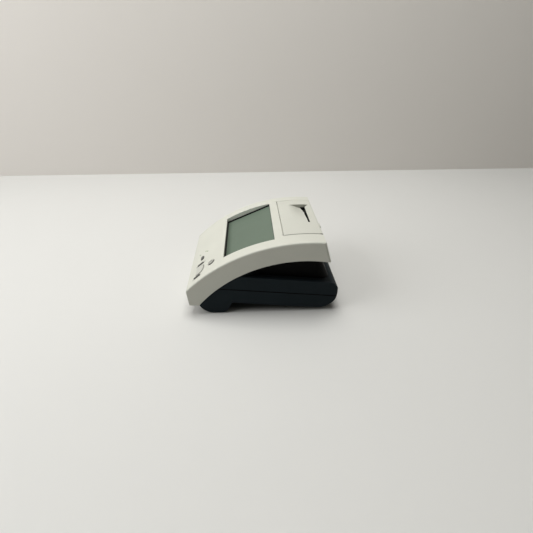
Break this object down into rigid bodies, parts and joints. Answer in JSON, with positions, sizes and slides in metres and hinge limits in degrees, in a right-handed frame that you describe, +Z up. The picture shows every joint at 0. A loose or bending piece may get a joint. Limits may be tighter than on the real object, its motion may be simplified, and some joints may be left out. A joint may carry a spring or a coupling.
{
  "type": "portable electrocardiograph",
  "caption": "Portable electrocardiograph with an arched cover, sunk display, sprung keys, hinged chart printer door and sloping base on rubber pads.",
  "frame": {"origin": "on the table, under the middle of the case", "axes": "+Z up; -Y toward the nose with its keys, +Y toward the printer; +X is the right-hand side"},
  "size_m": [0.152, 0.188, 0.097],
  "materials": {
    "cover_plastic": "fine satin grain",
    "base_plastic": "fine satin grain",
    "gasket_rubber": "matt",
    "display_glass": "glossy over a grey-green display",
    "key_light": "satin",
    "key_dark": "satin",
    "light_pipe": "clear",
    "silicone": "matt",
    "circuit_board": "solder mask",
    "steel": "ground",
    "aluminium": "milled",
    "brass": "machined",
    "nickel": "plated",
    "frame_plastic": "moulded",
    "gear_plastic": "acetal",
    "platen_rubber": "ground",
    "pad_rubber": "matt",
    "paper": "thermal coated",
    "cardboard": "plain",
    "battery_wrap": "shrink film",
    "black_plastic": "moulded",
    "zinc": "zinc plated"
  },
  "bodies": {
    "case": {"top_cover": "cover_plastic", "middle_case": "base_plastic", "bottom_case": "base_plastic", "battery_door": "base_plastic", "battery_pack": "battery_wrap", "front_pads": "pad_rubber", "rear_pads": "pad_rubber", "lcd_gasket": "gasket_rubber", "lcd_glass": "display_glass", "lcd_module": "aluminium", "display_board": "circuit_board", "led_pipes": "light_pipe", "key_mat": "silicone", "key_board": "circuit_board", "printer_chassis": "frame_plastic", "idler_pin": "steel", "stepper_motor": "zinc", "print_head": "gear_plastic", "head_sink": "aluminium", "head_springs": "steel", "main_board": "circuit_board", "input_shield": "nickel", "buzzer": "black_plastic", "io_board": "circuit_board", "patient_connector": "nickel", "dc_inlet": "black_plastic", "data_port": "nickel", "ground_pin": "nickel", "case_screws": "zinc", "cover_screws": "zinc", "chassis_screws": "zinc", "display_screws": "zinc", "board_screws": "zinc"},
    "door": {"printer_door": "cover_plastic", "hinge_rod": "steel"},
    "reel": {"paper_roll": "paper", "paper_core": "cardboard", "reel_spindle": "frame_plastic"},
    "platen": {"platen_shaft": "steel", "platen_rubber": "platen_rubber", "platen_gear": "gear_plastic"},
    "idler": {"idler_gear": "gear_plastic"},
    "rotor": {"motor_pinion": "brass", "motor_shaft": "steel"},
    "power": {"power_key": "key_light"},
    "start": {"start_key": "key_light"},
    "select": {"select_key": "key_dark"},
    "near_bar": {"near_bar_key": "key_dark"},
    "far_bar": {"far_bar_key": "key_dark"}
  },
  "joints": [
    {"name": "door_hinge", "type": "hinge", "parent": "case", "child": "door", "pos_m": [0, 0.0282, 0.09298], "axis": [1, 0, 0], "range_deg": [0, 80]},
    {"name": "platen_spin", "type": "hinge", "parent": "case", "child": "platen", "pos_m": [0, 0.0565, 0.08], "axis": [1, 0, 0], "continuous": true},
    {"name": "idler_spin", "type": "hinge", "parent": "case", "child": "idler", "pos_m": [0, 0.03982, 0.07222], "axis": [1, 0, 0], "continuous": true},
    {"name": "rotor_spin", "type": "hinge", "parent": "case", "child": "rotor", "pos_m": [0, 0.03132, 0.05962], "axis": [1, 0, 0], "continuous": true},
    {"name": "reel_spin", "type": "hinge", "parent": "case", "child": "reel", "pos_m": [0, 0.04, 0.06401], "axis": [1, 0, 0], "continuous": true},
    {"name": "power_press", "type": "slide", "parent": "case", "child": "power", "axis": [0, 0.5643, -0.8256], "range_m": [0, 0.0008], "stiffness_N_per_m": 300, "springref_m": -0.0006},
    {"name": "start_press", "type": "slide", "parent": "case", "child": "start", "axis": [0, 0.6352, -0.7723], "range_m": [0, 0.0008], "stiffness_N_per_m": 300, "springref_m": -0.0006},
    {"name": "select_press", "type": "slide", "parent": "case", "child": "select", "axis": [0, 0.631, -0.7758], "range_m": [0, 0.0008], "stiffness_N_per_m": 300, "springref_m": -0.0006},
    {"name": "near_bar_press", "type": "slide", "parent": "case", "child": "near_bar", "axis": [0, 0.6457, -0.7636], "range_m": [0, 0.0008], "stiffness_N_per_m": 300, "springref_m": -0.0006},
    {"name": "far_bar_press", "type": "slide", "parent": "case", "child": "far_bar", "axis": [0, 0.6352, -0.7723], "range_m": [0, 0.0008], "stiffness_N_per_m": 300, "springref_m": -0.0006}
  ],
  "couplings": [
    {"joint": "idler_spin", "follows": "platen_spin", "ratio": -0.76923},
    {"joint": "rotor_spin", "follows": "platen_spin", "ratio": 1.6667}
  ]
}
